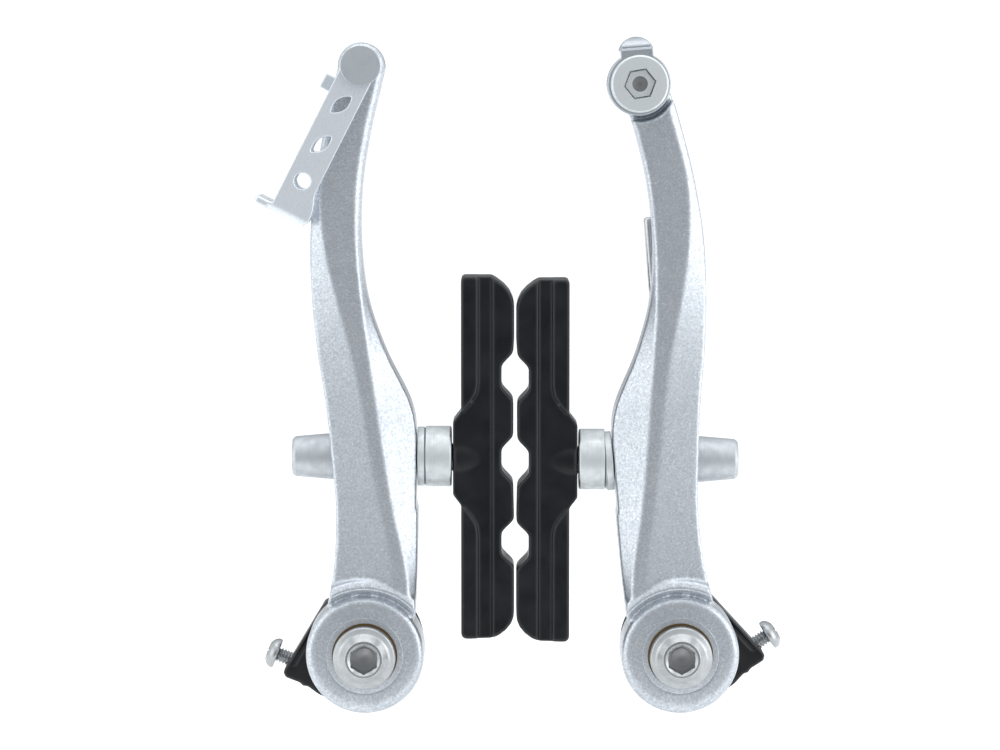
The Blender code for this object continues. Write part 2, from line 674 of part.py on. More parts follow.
def main():
    materials = make_materials()
    for name in ("left", "right"):
        side = side_frames(name)
        build_arm(side, materials["arm"])
        build_hub_stack(side, materials)
        build_spring_holder(side, materials)
        build_adjusting_screw(side, materials)
        build_spring(side, materials)
        build_washers(side, materials)
        build_shoe(side, materials)
        if name == "left":
            build_link(side, materials)
        else:
            build_anchor(side, materials)


clear_scene()
PARTS = new_collection("rim_brake_caliper")
CUTTERS = new_collection("cutters")
main()
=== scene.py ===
"""Looks of the linear-pull rim brake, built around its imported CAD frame.

The object's lengths are in millimetres and become metres where a piece is placed; the
studio's are in metres. Each side is drawn in the left side's own frame, with +X pointing
inwards to the other arm, -Y to the front and +Z up; the right side is the mirror of it.
"Ahead" is the distance in front of the plane on which the frame's bosses meet the boss
sleeves.
"""

import math

import bmesh
import bpy
from mathutils import Matrix, Vector


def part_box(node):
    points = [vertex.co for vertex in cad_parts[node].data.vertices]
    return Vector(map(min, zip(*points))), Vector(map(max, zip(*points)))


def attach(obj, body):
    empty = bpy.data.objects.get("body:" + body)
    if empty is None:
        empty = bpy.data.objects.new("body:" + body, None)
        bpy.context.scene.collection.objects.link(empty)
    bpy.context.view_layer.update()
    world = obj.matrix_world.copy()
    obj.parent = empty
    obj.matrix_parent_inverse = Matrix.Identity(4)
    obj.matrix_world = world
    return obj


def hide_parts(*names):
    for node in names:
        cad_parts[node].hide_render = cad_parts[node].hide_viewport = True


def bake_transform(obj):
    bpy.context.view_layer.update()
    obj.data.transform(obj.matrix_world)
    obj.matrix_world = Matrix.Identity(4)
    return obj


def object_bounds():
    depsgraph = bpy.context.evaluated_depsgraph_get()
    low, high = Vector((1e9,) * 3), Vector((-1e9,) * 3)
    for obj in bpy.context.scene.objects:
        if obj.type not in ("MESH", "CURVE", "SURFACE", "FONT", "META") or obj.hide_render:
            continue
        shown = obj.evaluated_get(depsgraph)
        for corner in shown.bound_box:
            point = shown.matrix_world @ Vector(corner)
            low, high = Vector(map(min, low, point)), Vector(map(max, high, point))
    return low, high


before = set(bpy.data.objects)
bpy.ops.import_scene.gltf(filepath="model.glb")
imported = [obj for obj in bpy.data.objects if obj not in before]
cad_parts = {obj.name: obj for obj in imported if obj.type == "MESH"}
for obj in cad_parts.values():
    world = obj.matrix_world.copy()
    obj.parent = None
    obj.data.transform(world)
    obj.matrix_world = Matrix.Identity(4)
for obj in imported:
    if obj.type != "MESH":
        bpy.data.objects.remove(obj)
CAD_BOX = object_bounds()
MM = 0.001
SIDES = ("left", "right")

# Where the two arms turn, in metres, then the turns and places of what each half carries
PIVOT_X = {
    side: (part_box(f"{side}_boss_sleeve")[0].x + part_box(f"{side}_boss_sleeve")[1].x) / 2
    for side in SIDES
}
RIGHT_LEAN = math.radians(4.3)
RIGHT_HOLDER_TURN = math.radians(11.5)
LINK_LEAN = math.radians(27.0)
SCREW_RISE = math.radians(22.0)
CROSS_TURN = math.radians(20)
STUD_AT = (6.3, -10.6, 37.3)
RIVET_AT = (-0.4, 0, 112.0)
ANCHOR_AT = (0.0, 0, 108.9)
SCREW_AT = (-18.4, -3.8, -1.9)
PIN_AT = (-10.9, 0, 0.8)

FORWARD = Matrix.Rotation(math.pi / 2, 4, "X")
INWARD = Matrix.Rotation(math.pi / 2, 4, "Y")
OUTWARD = Matrix.Rotation(-math.pi / 2, 4, "Y")
PIN_PLACE = Matrix.Translation(PIN_AT) @ FORWARD

# How far ahead a cutting tool goes to be clear of every front face
CUT_AHEAD = 25

# Standard hardware: M6 thread, the depth of a thread over its pitch, and the hexagon key
M6_RADIUS = 2.9
M6_PITCH = 1.0
THREAD_DEPTH = 0.55
HEX = 5.0

# The arm's hub, lug and web, and where its inner bevel thins on the right
HUB_RADIUS = 11.3
HUB_BORE = 6.85
HUB_FRONT = 20.0
HUB_REAR = 7.5
LUG_REAR = 11.35
WEB_OUTER = 2.8
WEB_INNER = 9.8
REAR_CHAMFER = 0.8
LIP_LIMIT = 40
BEVEL_FADE_FROM = 66
BEVEL_FADE_OVER = 16
THIN_BEVEL = 0.45

# The shoe's slot and pocket, its ball washers and its pad
SHOE_TRAVEL = 3.0
SLOT_HALF_WIDTH = 3.3
POCKET_REACH = 9.8
DOME_RADIUS = 5.7
DOME_BORE = 3.6
CUP_RADIUS = 5.85
CUP_BORE = 3.2
PAD_BACK = 12.05
PAD_FACE = 22.2
PAD_MIDDLE_FACE = 22.05
PAD_HALF_DEPTH = 5.5
BAND_FLOOR = 4.85
NOTCH_FLOOR = 19.8

# The return spring's wire and coil, and its leg's place across each arm
WIRE_RADIUS = 0.9
COIL_RADIUS = 7.2
COIL_REAR = -6.1
COIL_DEPTH = 3.2
LEG_X = {"left": -1.6, "right": -0.2}
POST_OFFSET = 2.4
POST_HEIGHT = 76.0

# The cable link's outer faces, front and rear, and the height of its bends
LINK_FRONT = 20.3
LINK_REAR = 9.8
LINK_BEND = -30.4

# Brightness of the studio's white tent, of its opening round the camera, and the share
# that is left of it on the wall behind, which draws dark edges round the metal; then the
# white that the camera sees behind the object, and the floor's distance below it in metres
TENT = 1.00
TENT_FRONT = 0.33
TENT_BACK = 0.42
BACKDROP = 1.15
FLOOR_DROP = 0.012
WHITE = (1.0, 1.0, 1.0)
SPAN_KEYS = ("From Min", "From Max", "To Min", "To Max")

# One row for each level of the arm: height, outer edge, crease, ridge and inner edge
# across the arm, then front depth, outer and inner edge drop, and rear depth.
ARM_ROWS = (
    (7.0, -7.6, 6.2, 8.8, 9.6, 20.0, 1.8, 1.6, 8.5),
    (17.0, -5.9, 5.3, 7.7, 10.0, 20.0, 1.7, 2.2, 8.5),
    (28.0, -5.5, 3.2, 5.3, 10.1, 20.0, 1.6, 3.2, 4.8),
    (40.0, -6.5, 1.0, 3.3, 9.9, 20.0, 1.6, 3.7, 4.8),
    (47.5, -7.3, -0.2, 2.2, 8.9, 20.0, 1.6, 3.6, 4.8),
    (58.0, -8.9, -2.3, 0.8, 4.1, 20.0, 1.9, 2.8, 9.0),
    (68.0, -9.9, -5.1, -0.5, 0.8, 19.5, 1.9, 1.6, 10.8),
    (79.0, -10.2, -7.6, -1.5, -0.5, 18.8, 1.5, 1.1, 11.3),
    (90.0, -9.2, -8.2, -1.3, -0.2, 18.8, 1.0, 1.0, 11.3),
    (100.0, -7.5, -6.5, 0.3, 1.4, 18.8, 1.0, 1.0, 11.3),
    (108.0, -5.7, -4.7, 2.2, 3.3, 18.8, 1.0, 1.0, 11.3),
    (112.0, -4.7, -3.7, 3.2, 4.2, 18.8, 1.0, 1.0, 11.3),
)


# ---------------------------------------------------------------- frames

def frames(side):
    """Matrices in millimetres from each local frame of a side to the world."""
    right = side == "right"
    boss = Matrix.Translation((PIVOT_X[side] / MM, 0, 0))
    if right:
        boss = boss @ Matrix.Diagonal((-1, 1, 1, 1))
    lean = Matrix.Rotation(RIGHT_LEAN if right else 0.0, 4, "Y")
    pivot = boss @ lean
    holder = boss @ Matrix.Rotation(RIGHT_HOLDER_TURN if right else 0.0, 4, "Y")
    stud = lean @ Vector(STUD_AT)
    return {
        "boss": boss,
        "pivot": pivot,
        "holder": holder,
        "screw": holder @ Matrix.Translation(SCREW_AT) @ Matrix.Rotation(SCREW_RISE, 4, "Y"),
        "slot": boss @ Matrix.Translation(stud) @ lean,
        "shoe": boss @ Matrix.Translation(stud),
        "link": pivot @ Matrix.Translation(RIVET_AT) @ Matrix.Rotation(LINK_LEAN, 4, "Y"),
        "anchor": pivot @ Matrix.Translation(ANCHOR_AT),
    }


def post_place(side):
    """Where the spring's post stands on its arm, in the arm's own frame."""
    return Matrix.Translation((LEG_X[side] - POST_OFFSET, 0, POST_HEIGHT)) @ FORWARD


def settle(obj, matrix):
    """Put a mesh made in local millimetres in the world. Its matrix stays a plain
    turn and move, so a mirrored frame mirrors the mesh itself."""
    mirror = matrix.determinant() < 0
    flip = Matrix.Diagonal((-1, 1, 1, 1)) if mirror else Matrix.Identity(4)
    obj.data.transform(Matrix.Scale(MM, 4) @ flip)
    if mirror:
        obj.data.flip_normals()
    proper = matrix @ flip
    proper.translation = proper.translation * MM
    obj.matrix_world = proper


# ---------------------------------------------------------------- meshes

def new_object(name, bm):
    """An object from a bmesh, with its faces turned outwards."""
    mesh = bpy.data.meshes.new(name)
    bmesh.ops.recalc_face_normals(bm, faces=bm.faces)
    if bm.calc_volume(signed=True) < 0:
        bmesh.ops.reverse_faces(bm, faces=bm.faces)
    bm.to_mesh(mesh)
    bm.free()
    obj = bpy.data.objects.new(name, mesh)
    bpy.context.scene.collection.objects.link(obj)
    return obj


def moved(obj, matrix):
    """Move the mesh inside its object, as tools and parts of one piece need."""
    obj.data.transform(matrix)
    if matrix.determinant() < 0:
        obj.data.flip_normals()
    return obj


def apply(obj):
    """Make what the modifiers show the object's own mesh."""
    graph = bpy.context.evaluated_depsgraph_get()
    mesh = bpy.data.meshes.new_from_object(obj.evaluated_get(graph))
    obj.modifiers.clear()
    old, obj.data = obj.data, mesh
    bpy.data.meshes.remove(old)
    return obj


def combine(obj, tools, operation="DIFFERENCE"):
    for tool in tools:
        boolean = obj.modifiers.new("combine", "BOOLEAN")
        boolean.operation = operation
        boolean.solver = "EXACT"
        boolean.object = tool
    apply(obj)
    for tool in tools:
        bpy.data.objects.remove(tool, do_unlink=True)
    return obj


def soften(obj, voxel, passes):
    """Remake the skin as an even mesh and round its edges, as on a cast or moulded piece."""
    remesh = obj.modifiers.new("even", "REMESH")
    remesh.mode = "VOXEL"
    remesh.voxel_size = voxel
    remesh.use_smooth_shade = True
    smooth = obj.modifiers.new("round", "SMOOTH")
    smooth.factor = 0.5
    smooth.iterations = passes
    return apply(obj)


def bevel(obj, width, segments):
    modifier = obj.modifiers.new("edges", "BEVEL")
    modifier.width = width
    modifier.segments = segments
    modifier.limit_method = "ANGLE"
    modifier.angle_limit = math.radians(30)
    return apply(obj)


def filleted(corners, steps=5):
    """A profile with rounded corners. A corner is (radius, height) or, where it is
    rounded, (radius, height, fillet)."""
    points = []
    for n, corner in enumerate(corners):
        here = Vector(corner[:2])
        if len(corner) == 2 or n in (0, len(corners) - 1):
            points.append(here)
            continue
        before = (Vector(corners[n - 1][:2]) - here).normalized()
        after = (Vector(corners[n + 1][:2]) - here).normalized()
        reach = corner[2]
        start, end = here + before * reach, here + after * reach
        for step in range(steps + 1):
            t = step / steps
            points.append((1 - t) ** 2 * start + 2 * t * (1 - t) * here + t * t * end)
    return points


def turned(name, profile, steps=96, closed=False):
    """A body turned about Z. The profile runs from the top of the axis down to its foot;
    closed makes a ring of a profile that stays off the axis."""
    bm = bmesh.new()
    rings = []
    for radius, height in profile:
        if radius < 1e-6:
            rings.append([bm.verts.new((0, 0, height))])
            continue
        rings.append([
            bm.verts.new((radius * math.cos(a), radius * math.sin(a), height))
            for a in (2 * math.pi * k / steps for k in range(steps))
        ])
    pairs = list(zip(rings, rings[1:]))
    if closed:
        pairs.append((rings[-1], rings[0]))
    for upper, lower in pairs:
        for k in range(steps):
            j = (k + 1) % steps
            if len(upper) == 1 and len(lower) == 1:
                break
            if len(upper) == 1:
                bm.faces.new((upper[0], lower[k], lower[j]))
            elif len(lower) == 1:
                bm.faces.new((upper[k], lower[0], upper[j]))
            else:
                bm.faces.new((upper[k], lower[k], lower[j], upper[j]))
    return new_object(name, bm)


def rod(name, radius, low, high, steps=64):
    return turned(name, [(0, high), (radius, high), (radius, low), (0, low)], steps)


def block(name, low, high):
    low, high = Vector(low), Vector(high)
    bm = bmesh.new()
    bmesh.ops.create_cube(bm, size=1)
    bmesh.ops.scale(bm, vec=high - low, verts=bm.verts)
    bmesh.ops.translate(bm, vec=(low + high) / 2, verts=bm.verts)
    return new_object(name, bm)


def hexagon(name, across_flats, low, high):
    return rod(name, across_flats / math.sqrt(3), low, high, 6)


def flat_washer(name, inner, outer, top, foot):
    profile = filleted([(inner, top), (outer, top, 0.25), (outer, foot, 0.25), (inner, foot), (inner, top)])
    return turned(name, profile[:-1], 96, closed=True)


def plate(name, outline, rear, front):
    """A flat outline in the XZ plane, solid from one distance ahead to another."""
    bm = bmesh.new()
    back = [bm.verts.new((x, -rear, z)) for x, z in outline]
    face = [bm.verts.new((x, -front, z)) for x, z in outline]
    bm.faces.new(back)
    bm.faces.new(face[::-1])
    for n in range(len(outline)):
        j = (n + 1) % len(outline)
        bm.faces.new((back[j], back[n], face[n], face[j]))
    return new_object(name, bm)


def threaded(name, radius, low, high, pitch, chamfer=0.6):
    """A threaded rod along Z: its radius follows a helix, with chamfered ends."""
    steps = 48
    rows = int((high - low) / pitch * 8)
    bm = bmesh.new()
    rings = []
    for n in range(rows + 1):
        height = low + (high - low) * n / rows
        ring = []
        for k in range(steps):
            angle = 2 * math.pi * k / steps
            phase = (height / pitch - k / steps) % 1
            ridge = 1 - abs(2 * phase - 1)
            cut = THREAD_DEPTH * pitch * (1 - min(max(1.5 * ridge - 0.2, 0), 1))
            end = min(height - low, high - height)
            r = min(radius - cut, radius - chamfer + end)
            ring.append(bm.verts.new((r * math.cos(angle), r * math.sin(angle), height)))
        rings.append(ring)
    for lower, upper in zip(rings, rings[1:]):
        for k in range(steps):
            j = (k + 1) % steps
            bm.faces.new((lower[k], lower[j], upper[j], upper[k]))
    bm.faces.new(rings[0][::-1])
    bm.faces.new(rings[-1])
    return new_object(name, bm)


def arc(centre, radius, start, end, count):
    """Points along an arc, its angles in degrees from +X towards +Z."""
    angles = [math.radians(start + (end - start) * n / (count - 1)) for n in range(count)]
    return [(centre[0] + radius * math.cos(a), centre[1] + radius * math.sin(a)) for a in angles]


def blended(rows, between):
    """Rows, or points, on a smooth curve through the given ones (Catmull-Rom)."""
    ends = [rows[0], *rows, rows[-1]]
    found = []
    for n in range(len(rows) - 1):
        before, start, end, after = ends[n:n + 4]
        for step in range(between):
            t = step / between
            found.append([
                b + t / 2 * (c - a + t * (2 * a - 5 * b + 4 * c - d + t * (3 * b - a - 3 * c + d)))
                for a, b, c, d in zip(before, start, end, after)
            ])
    return found + [list(rows[-1])]


# ---------------------------------------------------------------- materials

class Nodes:
    """Short names for building one material."""

    def __init__(self, name):
        self.material = bpy.data.materials.new(name)
        self.material.use_nodes = True
        self.tree = self.material.node_tree
        self.shader = self.tree.nodes["Principled BSDF"]
        self.place = self.add("ShaderNodeTexCoord").outputs["Object"]

    def add(self, kind, **settings):
        node = self.tree.nodes.new(kind)
        for key, value in settings.items():
            setattr(node, key, value)
        return node

    def link(self, source, target):
        self.tree.links.new(source, target)

    def feed(self, value, socket):
        """Give a socket a number, a colour or another node's output."""
        if isinstance(value, (int, float)):
            socket.default_value = value
        elif isinstance(value, tuple):
            socket.default_value = (*value, 1.0)
        else:
            self.link(value, socket)

    def noise(self, size_mm, detail=2.0, rough=0.5, stretch=None):
        """Noise whose features are about size_mm across, from 0 to 1."""
        node = self.add("ShaderNodeTexNoise")
        node.inputs["Scale"].default_value = 1.0 / (size_mm * MM)
        node.inputs["Detail"].default_value = detail
        node.inputs["Roughness"].default_value = rough
        source = self.place
        if stretch:
            mapping = self.add("ShaderNodeMapping")
            mapping.inputs["Scale"].default_value = stretch
            self.link(source, mapping.inputs["Vector"])
            source = mapping.outputs["Vector"]
        self.link(source, node.inputs["Vector"])
        return node.outputs["Fac"]

    def flakes(self, size_mm):
        """One even grey for each cell about size_mm across."""
        node = self.add("ShaderNodeTexVoronoi")
        node.inputs["Scale"].default_value = 1.0 / (size_mm * MM)
        self.link(self.place, node.inputs["Vector"])
        split = self.add("ShaderNodeSeparateColor")
        self.link(node.outputs["Color"], split.inputs["Color"])
        return split.outputs["Red"]

    def ramp(self, source, *stops):
        """Colour or grey by position: stops are (position, colour)."""
        node = self.add("ShaderNodeValToRGB")
        elements = node.color_ramp.elements
        while len(elements) < len(stops):
            elements.new(0.5)
        for element, (position, colour) in zip(elements, stops):
            element.position = position
            if isinstance(colour, (int, float)):
                colour = (colour, colour, colour)
            element.color = (*colour, 1.0)
        self.link(source, node.inputs["Fac"])
        return node.outputs["Color"]

    def span(self, source, low, high, into_low, into_high):
        """Stretch the range from low to high over another one, and clamp what is outside."""
        node = self.add("ShaderNodeMapRange")
        for key, value in zip(SPAN_KEYS, (low, high, into_low, into_high)):
            node.inputs[key].default_value = value
        self.link(source, node.inputs["Value"])
        return node.outputs["Result"]

    def mix(self, a, b, share, how="MIX"):
        node = self.add("ShaderNodeMix", data_type="RGBA", blend_type=how)
        self.feed(share, node.inputs["Factor"])
        self.feed(a, node.inputs[6])
        self.feed(b, node.inputs[7])
        return node.outputs[2]

    def maths(self, how, a, b):
        node = self.add("ShaderNodeMath", operation=how)
        self.feed(a, node.inputs[0])
        self.feed(b, node.inputs[1])
        return node.outputs["Value"]

    def bump(self, *layers):
        """Stacked bump layers, each (height, strength, distance_mm)."""
        last = None
        for height, strength, distance in layers:
            node = self.add("ShaderNodeBump")
            node.inputs["Strength"].default_value = strength
            node.inputs["Distance"].default_value = distance * MM
            self.link(height, node.inputs["Height"])
            if last:
                self.link(last, node.inputs["Normal"])
            last = node.outputs["Normal"]
        self.link(last, self.shader.inputs["Normal"])

    def edges(self):
        """Near 1 on proud edges and near 0 in corners."""
        return self.add("ShaderNodeNewGeometry").outputs["Pointiness"]


def arm_paint():
    """Silver paint over a casting: fine aluminium flakes, a light orange peel, edges worn bright."""
    flake_mm = 0.24
    n = Nodes("arm_paint")
    grain = n.noise(0.42, 2.0, 0.6)
    cloud = n.noise(3.5, 2.0)
    colour = n.ramp(grain, (0.33, (0.53, 0.565, 0.60)), (0.67, (0.73, 0.775, 0.82)))
    flakes = n.ramp(n.flakes(flake_mm), (0.0, (0.88, 0.88, 0.89)), (0.86, WHITE), (0.97, (1.16, 1.16, 1.17)))
    colour = n.mix(colour, flakes, 1.0, "MULTIPLY")
    patches = n.ramp(cloud, (0.3, (0.95, 0.955, 0.965)), (0.7, WHITE))
    colour = n.mix(colour, patches, 1.0, "MULTIPLY")
    worn = n.span(n.edges(), 0.53, 0.63, 0.0, 0.3)
    colour = n.mix(colour, (0.86, 0.875, 0.89), worn)
    n.link(colour, n.shader.inputs["Base Color"])
    n.shader.inputs["Metallic"].default_value = 0.82
    n.link(n.span(grain, 0.3, 0.7, 0.42, 0.28), n.shader.inputs["Roughness"])
    n.bump((n.flakes(flake_mm), 0.10, 0.02), (grain, 0.20, 0.05))
    return n.material


def plated(name, colour, rough, stretch=None):
    """Plated steel: soft polishing marks, slight clouding and fine scratches."""
    n = Nodes(name)
    marks = n.noise(0.35, 3.0, 0.6, stretch)
    cloud = n.noise(2.2, 3.0)
    dark = tuple(c * 0.84 for c in colour)
    base = n.ramp(marks, (0.3, dark), (0.7, colour))
    tint = n.ramp(cloud, (0.35, (0.97, 0.985, 1.0)), (0.65, WHITE))
    base = n.mix(base, tint, 1.0, "MULTIPLY")
    worn = n.span(n.edges(), 0.55, 0.66, 0.0, 0.25)
    base = n.mix(base, (0.92, 0.92, 0.92), worn)
    n.link(base, n.shader.inputs["Base Color"])
    n.shader.inputs["Metallic"].default_value = 1.0
    n.link(n.span(marks, 0.3, 0.7, rough + 0.06, rough - 0.05), n.shader.inputs["Roughness"])
    n.bump((marks, 0.15, 0.03), (cloud, 0.08, 0.1))
    return n.material


def turned_steel(name, colour, rough):
    """Turned and plated steel: rings about the piece's own Z."""
    n = Nodes(name)
    split = n.add("ShaderNodeSeparateXYZ")
    n.link(n.place, split.inputs["Vector"])
    x, y, z = (split.outputs[axis] for axis in "XYZ")
    squares = n.maths("ADD", n.maths("MULTIPLY", x, x), n.maths("MULTIPLY", y, y))
    outwards = n.maths("MULTIPLY", n.maths("SQRT", squares, 0.0), 1 / (0.16 * MM))
    upwards = n.maths("MULTIPLY", z, 1 / (0.2 * MM))
    along = n.maths("ADD", outwards, upwards)
    rings = n.add("ShaderNodeTexNoise", noise_dimensions="1D")
    rings.inputs["Scale"].default_value = 1.0
    rings.inputs["Detail"].default_value = 3.0
    n.link(along, rings.inputs["W"])
    ring = rings.outputs["Fac"]
    cloud = n.noise(1.6, 3.0)
    base = n.ramp(cloud, (0.3, tuple(c * 0.86 for c in colour)), (0.7, colour))
    base = n.mix(base, n.ramp(ring, (0.3, (0.93, 0.93, 0.94)), (0.7, WHITE)), 1.0, "MULTIPLY")
    n.link(base, n.shader.inputs["Base Color"])
    n.shader.inputs["Metallic"].default_value = 1.0
    n.link(n.span(cloud, 0.3, 0.7, rough + 0.07, rough - 0.05), n.shader.inputs["Roughness"])
    n.bump((ring, 0.12, 0.03), (cloud, 0.06, 0.1))
    return n.material


def moulded(name, colour, rough, grain_mm, dust):
    """Moulded rubber or plastic: fine grain, flow marks, a little dust and a painted highlight along proud
    edges.
    """
    n = Nodes(name)
    grain = n.noise(grain_mm, 3.0, 0.6)
    cloud = n.noise(5.0, 3.0)
    light = tuple(c * 1.7 + 0.002 for c in colour)
    base = n.ramp(cloud, (0.3, colour), (0.75, light))
    specks = n.span(n.noise(0.5, 4.0, 0.7), 0.68, 0.80, 0.0, dust)
    base = n.mix(base, (0.22, 0.22, 0.23), specks)
    # Painted highlight: proud edges are lightened toward a brighter copy of the colour, standing in for
    # gloss on the ridges.
    edge = n.span(n.edges(), 0.508, 0.56, 0.0, 0.8)
    base = n.mix(base, tuple(c * 3 + 0.045 for c in colour), edge)
    n.link(base, n.shader.inputs["Base Color"])
    n.link(n.span(cloud, 0.3, 0.7, rough - 0.08, rough + 0.08), n.shader.inputs["Roughness"])
    n.shader.inputs["Specular IOR Level"].default_value = 0.34
    n.bump((grain, 0.25, 0.04), (cloud, 0.15, 0.25))
    return n.material


def make_materials():
    """Colours are the metal's own tint in linear light, save those marked below as painted shade; each is
    followed by its roughness.
    """
    return {
        "arm_paint": arm_paint(),
        # a darker steel for the discs inside the sockets, as painted shade
        "painted_shade_steel": turned_steel("painted_shade_steel", (0.34, 0.345, 0.35), 0.38),
        "satin_nut": turned_steel("satin_nut", (0.64, 0.675, 0.70), 0.50),
        "plated_steel": turned_steel("plated_steel", (0.51, 0.53, 0.54), 0.28),
        "zinc_turned": turned_steel("zinc_turned", (0.64, 0.685, 0.715), 0.48),
        "bright_zinc": turned_steel("bright_zinc", (0.80, 0.84, 0.85), 0.52),
        "zinc_sheet": plated("zinc_sheet", (0.88, 0.92, 0.96), 0.50, (1.0, 1.0, 0.35)),
        # darker than the link's sheet: painted shade for the dark gap round the pinch bolt's head
        "shade_darkened_sheet": plated("shade_darkened_sheet", (0.56, 0.595, 0.63), 0.40),
        "spring_steel": plated("spring_steel", (0.62, 0.63, 0.64), 0.24),
        # brass tint, darkened and greyed as painted shade for the gap round the fixing bolt's flange
        "brass": turned_steel("brass", (0.33, 0.225, 0.11), 0.42),
        "black_plastic": moulded("black_plastic", (0.004, 0.004, 0.005), 0.33, 0.25, 0.05),
        "pad_rubber": moulded("pad_rubber", (0.004, 0.0045, 0.006), 0.34, 0.18, 0.07),
    }


# ---------------------------------------------------------------- placing pieces

def piece(obj, matrix, body, material, nodes=(), sharp=35):
    """Finish one piece: in the world, shaded, painted, on its CAD body."""
    settle(obj, matrix)
    for face in obj.data.polygons:
        face.use_smooth = True
    if sharp:
        obj.data.set_sharp_from_angle(angle=math.radians(sharp))
    obj.data.materials.clear()
    obj.data.materials.append(MATERIALS[material])
    if body:
        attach(obj, body)
    if nodes:
        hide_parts(*nodes)


def steel_piece(obj, matrix, body, node):
    piece(obj, matrix, body, "plated_steel", [node])


# ---------------------------------------------------------------- arms

def arm_rows(top):
    """The arm's levels on a smooth curve through ARM_ROWS, up to a height."""
    return [row for row in blended(ARM_ROWS, 8) if row[0] <= top]


def arm_section(row, side):
    """The beam's eight corners at one level, across and ahead. The right arm's inner bevel
    fades to a thin line up its top half."""
    height, outer, crease, ridge, inner, front, outer_drop, inner_drop, rear = row
    if side == "right":
        thin = min(max((height - BEVEL_FADE_FROM) / BEVEL_FADE_OVER, 0), 1)
        crease += 0.35 * thin
        ridge += (inner - THIN_BEVEL - ridge) * thin
        inner_drop += (THIN_BEVEL - inner_drop) * thin
    return (
        (outer + REAR_CHAMFER, rear),
        (outer, rear + REAR_CHAMFER),
        (outer, front - outer_drop),
        (crease, front),
        (ridge, front),
        (inner, front - inner_drop),
        (inner, rear + REAR_CHAMFER),
        (inner - REAR_CHAMFER, rear),
    )


def arm_beam(name, top, side):
    """The casting between hub and lug, skinned over its sections."""
    bm = bmesh.new()
    rings = []
    for row in arm_rows(top):
        rings.append([bm.verts.new((x, -ahead, row[0])) for x, ahead in arm_section(row, side)])
    for low, high in zip(rings, rings[1:]):
        for n, vert in enumerate(low):
            j = (n + 1) % len(low)
            bm.faces.new((vert, low[j], high[j], high[n]))
    bm.faces.new(rings[0][::-1])
    bm.faces.new(rings[-1])
    return new_object(name, bm)


def arm_lip():
    """The raised round lip where the arm meets the groove over its hub."""
    rows = arm_rows(LIP_LIMIT)
    outer_edge = [(row[1] + 0.1, row[0]) for row in rows]
    inner_edge = [(row[4] - 0.1, row[0]) for row in reversed(rows)]
    profile = [
        (11.8, 18.2), (11.95, 19.1), (12.3, 19.95), (12.75, 20.5),
        (13.2, 20.5), (13.8, 20.15), (14.4, 19.8), (14.6, 18.2),
    ]
    lip = moved(turned("lip", profile, 128, closed=True), FORWARD)
    return combine(lip, [plate("lip_limit", outer_edge + inner_edge, 15, 25)], "INTERSECT")


def arm_shoulder():
    """The room that the groove over the hub takes from the beam."""
    profile = [
        (0, 27), (13.4, 27), (13.4, 20.2), (12.9, 19.8),
        (12.3, 19.0), (11.9, 18.2), (11.8, 17.4), (0, 17.4),
    ]
    return moved(turned("shoulder", profile, 128), FORWARD)


def arm_hub():
    profile = [(0, HUB_FRONT), (HUB_RADIUS, HUB_FRONT, 1.8), (HUB_RADIUS, HUB_REAR, 0.6), (0, HUB_REAR)]
    return moved(turned("hub", filleted(profile, 6), 128), FORWARD)


def add_lug(arm, side, place):
    """The round end of the arm. Gives back the tool for the lug's hole."""
    if side == "right":
        combine(arm, [moved(rod("spotface", 7.0, 14.2, CUT_AHEAD, 96), place)])
        lug = [(0, 17.6), (6.0, 17.6, 0.3), (6.0, LUG_REAR, 0.5), (0, LUG_REAR)]
        hole = 3.1
    else:
        lug = [(0, 18.75), (3.6, 18.75, 0.2), (4.45, 17.8, 0.2), (4.45, LUG_REAR, 0.5), (0, LUG_REAR)]
        hole = 2.1
    combine(arm, [moved(turned("lug", filleted(lug), 96), place)], "UNION")
    return moved(rod("lug_hole", hole, 0, CUT_AHEAD, 48), place)


def shoe_pocket():
    """The pocket behind the front wall, the flat seat inside it and the stud's slot."""
    across, back, height = STUD_AT
    low, high = height - POCKET_REACH, height + POCKET_REACH
    ends = arc((0, height - SHOE_TRAVEL), SLOT_HALF_WIDTH, 180, 360, 17)
    ends += arc((0, height + SHOE_TRAVEL), SLOT_HALF_WIDTH, 0, 180, 17)
    sideways = Matrix.Translation((across, back, 0)) @ Matrix.Rotation(math.pi / 2, 4, "Z")
    return [
        block("pocket", (-20, -16.5, low), (WEB_OUTER, 5, high)),
        block("seat", (WEB_INNER, -25, low), (14, 5, high)),
        moved(plate("slot", ends, -8, 8), sideways),
    ]


def build_arm(side, at):
    top = ANCHOR_AT if side == "right" else RIVET_AT
    arm = arm_beam(f"{side}_arm_casting", top[2], side)
    combine(arm, [arm_shoulder()])
    combine(arm, [arm_lip(), arm_hub()], "UNION")
    hub_bore = moved(rod("hub_bore", HUB_BORE, 0, CUT_AHEAD, 96), FORWARD)
    lug_hole = add_lug(arm, side, Matrix.Translation(top) @ FORWARD)
    post_hole = moved(rod("post_hole", 1.5, 5, 15, 32), post_place(side))
    combine(arm, [hub_bore, lug_hole, *shoe_pocket(), post_hole])
    soften(arm, 0.33, 6)
    piece(arm, at["pivot"], f"{side}_arm", "arm_paint", [f"{side}_arm"], sharp=None)
    build_bore_rim(side, at)


def build_bore_rim(side, at):
    """The crisp edge round the hub's bore, which a cast skin would lose."""
    profile = filleted([(6.25, 20.07), (7.3, 20.07, 0.1), (7.3, 19.5), (6.25, 19.5), (6.25, 20.07)])[:-1]
    rim = turned(f"{side}_bore_rim", profile, 96, closed=True)
    piece(rim, at["pivot"] @ FORWARD, f"{side}_arm", "arm_paint")


# ---------------------------------------------------------------- hub stack

